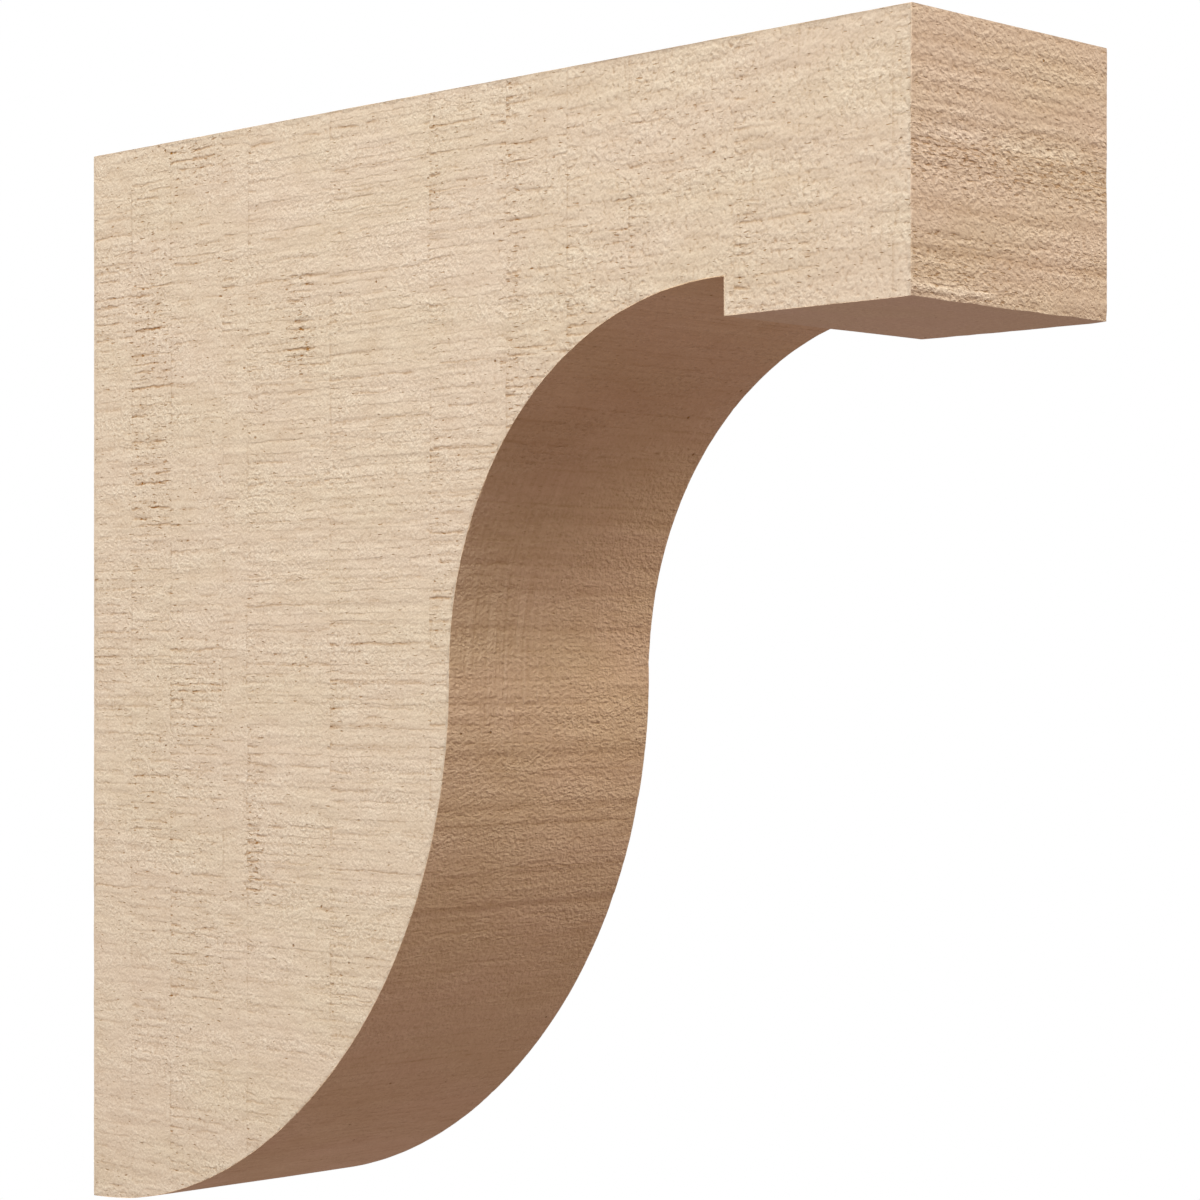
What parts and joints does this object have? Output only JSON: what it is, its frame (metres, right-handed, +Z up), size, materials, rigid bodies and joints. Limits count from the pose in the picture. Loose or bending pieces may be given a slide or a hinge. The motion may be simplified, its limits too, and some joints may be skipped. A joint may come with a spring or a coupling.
{
  "type": "polyurethane corbel",
  "caption": "S-curved wall bracket with a straight arm and a stepped block under its front end, cast with a rough-sawn timber surface and primed tan.",
  "frame": {"origin": "centre of the back face, on the wall", "axes": "+Y into the wall, so the arm reaches towards -Y; +Z up; +X across the width"},
  "size_m": [0.1016, 0.4064, 0.4064],
  "materials": {
    "tan_primer": "matte tan primer over a rough-sawn cast surface"
  },
  "bodies": {
    "root": {"corbel": "tan_primer"}
  },
  "joints": []
}
